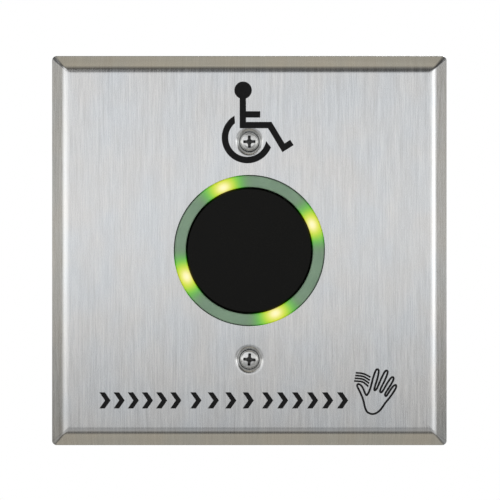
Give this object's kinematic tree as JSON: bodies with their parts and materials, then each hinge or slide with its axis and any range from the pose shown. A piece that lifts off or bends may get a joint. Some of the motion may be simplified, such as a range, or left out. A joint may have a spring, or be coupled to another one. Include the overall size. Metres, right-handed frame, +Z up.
{
  "type": "touchless door-opening switch",
  "caption": "Wave-to-open wall switch: a brushed steel plate round a dark infrared window in a glowing ring, with its sensor module, relay and wiring terminals behind it.",
  "frame": {"origin": "centre of the wall plate, on the wall surface that the plate's rim and the bracket rest on", "axes": "+Z up as installed, +Y into the wall, +X to the viewer's right; the front faces -Y"},
  "size_m": [0.116, 0.0319, 0.1142],
  "materials": {
    "stainless": "fine vertical brushed grain, satin",
    "screw_steel": "smooth, bright",
    "zinc_steel": "bright zinc plate",
    "foam": "closed-cell foam",
    "ring_diffuser": "milky translucent, lit from behind by green LEDs",
    "dark_window": "infrared-pass black, satin gloss",
    "black_plastic": "fine moulded texture",
    "clear_lens": "clear moulded epoxy",
    "dark_lens": "dark moulded epoxy",
    "circuit_board": "green solder mask with traces",
    "led_body": "white package with a green die",
    "chip_plastic": "moulded epoxy",
    "brass": "turned and pressed, bright",
    "canister": "shrink-sleeved can",
    "copper_winding": "enamelled copper wire",
    "relay_iron": "plated soft iron",
    "amber_plastic": "amber moulding, half clear",
    "green_plastic": "moulded, satin",
    "blue_plastic": "moulded, satin",
    "white_plastic": "moulded, satin",
    "red_plastic": "moulded, satin"
  },
  "bodies": {
    "switch": {"faceplate": "stainless", "face_screw_upper": "screw_steel", "face_screw_lower": "screw_steel", "face_gasket": "foam", "light_ring": "ring_diffuser", "sensor_window": "dark_window", "mounting_bracket": "zinc_steel", "box_screw_1": "zinc_steel", "box_screw_2": "zinc_steel", "box_screw_3": "zinc_steel", "box_screw_4": "zinc_steel", "front_housing": "black_plastic", "rear_cover": "black_plastic", "cover_screw_1": "zinc_steel", "cover_screw_2": "zinc_steel", "cover_screw_3": "zinc_steel", "cover_screw_4": "zinc_steel", "optic_shroud": "black_plastic", "infrared_emitter": "clear_lens", "infrared_receiver": "dark_lens", "led_board": "circuit_board", "status_led_1": "led_body", "status_led_2": "led_body", "status_led_3": "led_body", "status_led_4": "led_body", "board_header": "chip_plastic", "board_spacer_1": "brass", "board_spacer_2": "brass", "main_board": "circuit_board", "controller_chip": "chip_plastic", "voltage_regulator": "chip_plastic", "capacitor": "canister", "sounder": "chip_plastic", "relay_base": "chip_plastic", "relay_coil": "copper_winding", "relay_yoke": "relay_iron", "relay_contact_closed": "brass", "relay_contact_open": "brass", "relay_cover": "amber_plastic", "terminal_block": "green_plastic", "range_trimmer_body": "blue_plastic", "delay_trimmer_body": "blue_plastic", "mode_switch_body": "red_plastic"},
    "relay_armature": {"relay_armature": "relay_iron", "relay_contact_spring": "brass"},
    "range_rotor": {"range_trimmer_rotor": "white_plastic"},
    "delay_rotor": {"delay_trimmer_rotor": "white_plastic"},
    "mode_slider_1": {"mode_slider_1": "white_plastic"},
    "mode_slider_2": {"mode_slider_2": "white_plastic"},
    "mode_slider_3": {"mode_slider_3": "white_plastic"},
    "terminal_screw_1": {"terminal_screw_1": "screw_steel"},
    "clamp_cage_1": {"clamp_cage_1": "brass"},
    "terminal_screw_2": {"terminal_screw_2": "screw_steel"},
    "clamp_cage_2": {"clamp_cage_2": "brass"},
    "terminal_screw_3": {"terminal_screw_3": "screw_steel"},
    "clamp_cage_3": {"clamp_cage_3": "brass"},
    "terminal_screw_4": {"terminal_screw_4": "screw_steel"},
    "clamp_cage_4": {"clamp_cage_4": "brass"},
    "terminal_screw_5": {"terminal_screw_5": "screw_steel"},
    "clamp_cage_5": {"clamp_cage_5": "brass"}
  },
  "joints": [
    {"name": "relay_armature_tilt", "type": "hinge", "parent": "switch", "child": "relay_armature", "pos_m": [0.0136, 0.02135, 0.0095], "axis": [1, 0, 0], "range_deg": [0, 4], "stiffness_Nm_per_rad": 0.02, "springref_deg": -2.86},
    {"name": "range_trimmer_turn", "type": "hinge", "parent": "switch", "child": "range_rotor", "pos_m": [-0.0162, 0.0165, 0.0155], "axis": [0, -1, 0], "range_deg": [-130, 130]},
    {"name": "delay_trimmer_turn", "type": "hinge", "parent": "switch", "child": "delay_rotor", "pos_m": [-0.0162, 0.0165, 0.006], "axis": [0, -1, 0], "range_deg": [-130, 130]},
    {"name": "mode_slider_1_slide", "type": "slide", "parent": "switch", "child": "mode_slider_1", "axis": [1, 0, 0], "range_m": [0, 0.0016]},
    {"name": "mode_slider_2_slide", "type": "slide", "parent": "switch", "child": "mode_slider_2", "axis": [1, 0, 0], "range_m": [0, 0.0016]},
    {"name": "mode_slider_3_slide", "type": "slide", "parent": "switch", "child": "mode_slider_3", "axis": [1, 0, 0], "range_m": [0, 0.0016]},
    {"name": "terminal_screw_1_turn", "type": "hinge", "parent": "switch", "child": "terminal_screw_1", "pos_m": [-0.00762, 0.0216, -0.019], "axis": [0, -1, 0], "range_deg": [0, 1621]},
    {"name": "terminal_screw_2_turn", "type": "hinge", "parent": "switch", "child": "terminal_screw_2", "pos_m": [-0.00381, 0.0216, -0.019], "axis": [0, -1, 0], "range_deg": [0, 1621]},
    {"name": "terminal_screw_3_turn", "type": "hinge", "parent": "switch", "child": "terminal_screw_3", "pos_m": [0, 0.0216, -0.019], "axis": [0, -1, 0], "range_deg": [0, 1621]},
    {"name": "terminal_screw_4_turn", "type": "hinge", "parent": "switch", "child": "terminal_screw_4", "pos_m": [0.00381, 0.0216, -0.019], "axis": [0, -1, 0], "range_deg": [0, 1621]},
    {"name": "terminal_screw_5_turn", "type": "hinge", "parent": "switch", "child": "terminal_screw_5", "pos_m": [0.00762, 0.0216, -0.019], "axis": [0, -1, 0], "range_deg": [0, 1621]},
    {"name": "clamp_cage_1_lift", "type": "slide", "parent": "switch", "child": "clamp_cage_1", "axis": [0, 1, 0], "range_m": [0, 0.0018]},
    {"name": "clamp_cage_2_lift", "type": "slide", "parent": "switch", "child": "clamp_cage_2", "axis": [0, 1, 0], "range_m": [0, 0.0018]},
    {"name": "clamp_cage_3_lift", "type": "slide", "parent": "switch", "child": "clamp_cage_3", "axis": [0, 1, 0], "range_m": [0, 0.0018]},
    {"name": "clamp_cage_4_lift", "type": "slide", "parent": "switch", "child": "clamp_cage_4", "axis": [0, 1, 0], "range_m": [0, 0.0018]},
    {"name": "clamp_cage_5_lift", "type": "slide", "parent": "switch", "child": "clamp_cage_5", "axis": [0, 1, 0], "range_m": [0, 0.0018]}
  ],
  "couplings": [
    {"joint": "terminal_screw_1_turn", "follows": "clamp_cage_1_lift", "rad_per_m": 15708},
    {"joint": "terminal_screw_2_turn", "follows": "clamp_cage_2_lift", "rad_per_m": 15708},
    {"joint": "terminal_screw_3_turn", "follows": "clamp_cage_3_lift", "rad_per_m": 15708},
    {"joint": "terminal_screw_4_turn", "follows": "clamp_cage_4_lift", "rad_per_m": 15708},
    {"joint": "terminal_screw_5_turn", "follows": "clamp_cage_5_lift", "rad_per_m": 15708}
  ]
}
